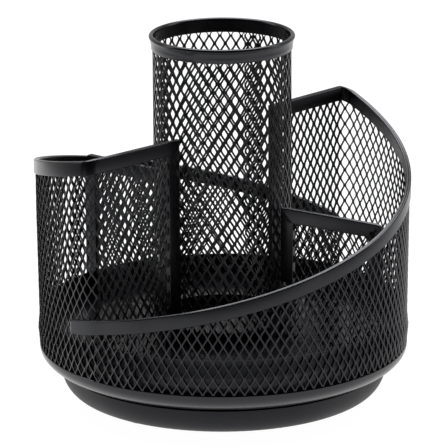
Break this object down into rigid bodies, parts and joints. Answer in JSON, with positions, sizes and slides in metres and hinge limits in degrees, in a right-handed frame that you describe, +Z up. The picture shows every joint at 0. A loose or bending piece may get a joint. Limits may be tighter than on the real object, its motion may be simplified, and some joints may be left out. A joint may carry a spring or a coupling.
{
  "type": "lazy susan organizer",
  "caption": "Round black mesh desk organizer on a turntable: centre pencil cup, spiral-topped walls with edge strips, dividers, solid pan and a fixed dish with rubber feet.",
  "frame": {"origin": "on the table under the spindle's axis, at the bottom of the rubber feet", "axes": "+Z up along the spindle, -Y to the front (towards the low front rim), +X to the right"},
  "size_m": [0.1664, 0.1661, 0.1625],
  "materials": {
    "black_paint": "satin",
    "bare_steel": "satin",
    "black_rubber": "matte"
  },
  "bodies": {
    "turntable": {"turntable_base": "black_paint", "lower_race": "bare_steel", "lower_race_rivets": "bare_steel", "spindle": "bare_steel", "spindle_washer": "bare_steel", "rubber_feet": "black_rubber"},
    "ball_ring": {"ball_cage": "bare_steel", "bearing_balls": "bare_steel"},
    "carousel": {"base_pan": "black_paint", "upper_race": "bare_steel", "upper_race_rivets": "bare_steel", "skirt_band": "black_paint", "floor_plate": "black_paint", "cup_base_ring": "black_paint", "cup_mesh": "black_paint", "cup_rim": "black_paint", "wall_right_mesh": "black_paint", "wall_left_mesh": "black_paint", "wall_right_trim": "black_paint", "wall_left_trim": "black_paint", "radial_right_mesh": "black_paint", "radial_right_trim": "black_paint", "radial_left_mesh": "black_paint", "radial_left_trim": "black_paint", "divider_front_mesh": "black_paint", "divider_front_trim": "black_paint", "divider_rear_mesh": "black_paint", "divider_rear_trim": "black_paint"}
  },
  "joints": [
    {"name": "carousel_spin", "type": "hinge", "parent": "turntable", "child": "carousel", "pos_m": [0, 0, 0.0125], "axis": [0, 0, 1], "continuous": true},
    {"name": "ball_ring_spin", "type": "hinge", "parent": "turntable", "child": "ball_ring", "pos_m": [0, 0, 0.0069], "axis": [0, 0, 1], "continuous": true}
  ],
  "couplings": [
    {"joint": "ball_ring_spin", "follows": "carousel_spin", "ratio": 0.5}
  ]
}
